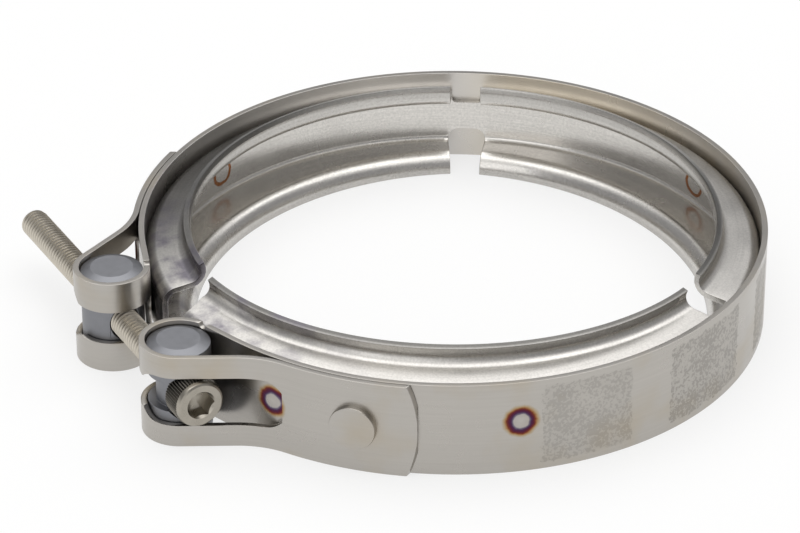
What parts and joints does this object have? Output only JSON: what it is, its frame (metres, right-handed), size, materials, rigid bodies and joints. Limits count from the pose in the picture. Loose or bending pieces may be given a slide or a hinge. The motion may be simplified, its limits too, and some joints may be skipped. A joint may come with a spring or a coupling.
{
  "type": "exhaust clamp",
  "caption": "V-profile exhaust clamp: looped strip band with a notched V insert, closed by a socket head screw through two trunnions.",
  "frame": {"origin": "on the ring's axis, at the middle of the band's width", "axes": "+Z along the ring's axis, -Y towards the closure, +X from the screw's tip towards its head"},
  "size_m": [0.127, 0.1399, 0.0215],
  "materials": {
    "band_steel": "mill finish stainless strip, satin",
    "insert_steel": "roll formed stainless, satin with slight heat tint",
    "plated_steel": "zinc plated, bluish",
    "screw_steel": "stainless, rolled thread and knurled head",
    "rivet_steel": "stainless, satin"
  },
  "bodies": {
    "clamp": {"outer_band": "band_steel", "v_insert": "insert_steel", "plain_trunnion": "plated_steel", "nut_trunnion": "plated_steel", "head_side_rivet": "rivet_steel", "nut_side_rivet": "rivet_steel"},
    "screw": {"clamp_screw": "screw_steel"}
  },
  "joints": [
    {"name": "screw_turn", "type": "hinge", "parent": "clamp", "child": "screw", "pos_m": [0, -0.0687, 0], "axis": [1, 0, 0], "continuous": true}
  ]
}
